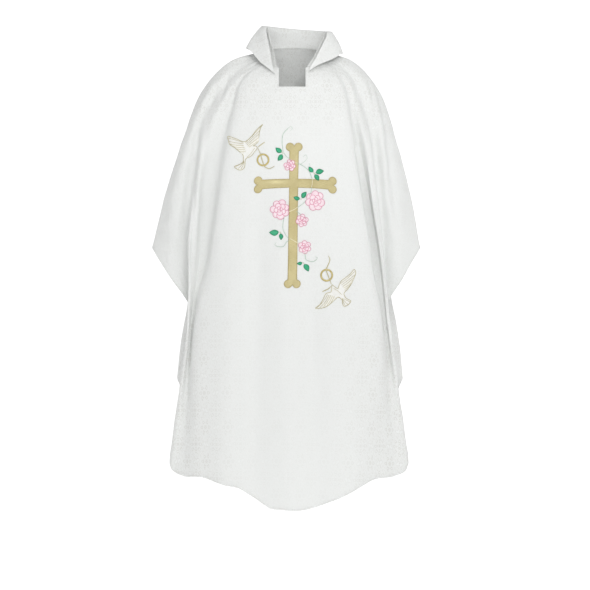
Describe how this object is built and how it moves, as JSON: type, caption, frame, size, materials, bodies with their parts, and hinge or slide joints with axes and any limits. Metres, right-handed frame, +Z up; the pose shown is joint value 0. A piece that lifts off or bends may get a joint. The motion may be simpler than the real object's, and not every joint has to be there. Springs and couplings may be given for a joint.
{
  "type": "chasuble",
  "caption": "Full-length poncho-shaped church vestment in white figured cloth, with a rolled collar over a square neck slot and an embroidered cross, rose vine and doves on the front.",
  "frame": {"origin": "midway between the two shoulder points of the neck seam, where the garment rests on its wearer", "axes": "+Z up, the embroidered front faces -Y, +X is the wearer's left arm"},
  "size_m": [0.7594, 0.3974, 1.3533],
  "materials": {
    "jacquard": "white tone-on-tone figured weave, satin figure on a duller ground",
    "plain_cloth": "plain white weave, matt",
    "interlining": "stiff white non-woven, matt",
    "gold_thread": "close satin stitch in metallic gold thread",
    "beige_thread": "fine lines of pale gold thread",
    "pink_thread": "pink rayon thread, outlined petals",
    "green_thread": "green rayon thread, satin stitch",
    "pale_thread": "pale green rayon thread, running stitch"
  },
  "bodies": {
    "root": {"front_panel": "jacquard", "back_panel": "jacquard", "top_collar": "jacquard", "under_collar": "jacquard", "collar_interlining": "interlining", "hem_facing_front": "plain_cloth", "hem_facing_back": "plain_cloth", "neck_facing": "plain_cloth", "shoulder_tape_left": "plain_cloth", "shoulder_tape_right": "plain_cloth", "rose_top": "pink_thread", "rose_left": "pink_thread", "rose_right": "pink_thread", "rose_middle": "pink_thread", "rose_low": "pink_thread", "leaves_top": "green_thread", "leaves_right": "green_thread", "leaves_middle": "green_thread", "leaves_left": "green_thread", "leaves_low": "green_thread", "dove_upper": "beige_thread", "dove_lower": "beige_thread", "ring_upper": "beige_thread", "ring_lower": "beige_thread", "twig_upper": "beige_thread", "ribbon_end_lower": "beige_thread", "cross": "gold_thread", "stem_top": "pale_thread", "stem_upper_left": "pale_thread", "stem_upper_right": "pale_thread", "stem_below_bar": "pale_thread", "stem_middle": "pale_thread", "stem_lower_left": "pale_thread", "stem_rose_middle": "pale_thread", "stem_tendril": "pale_thread", "stem_low": "pale_thread"}
  },
  "joints": []
}
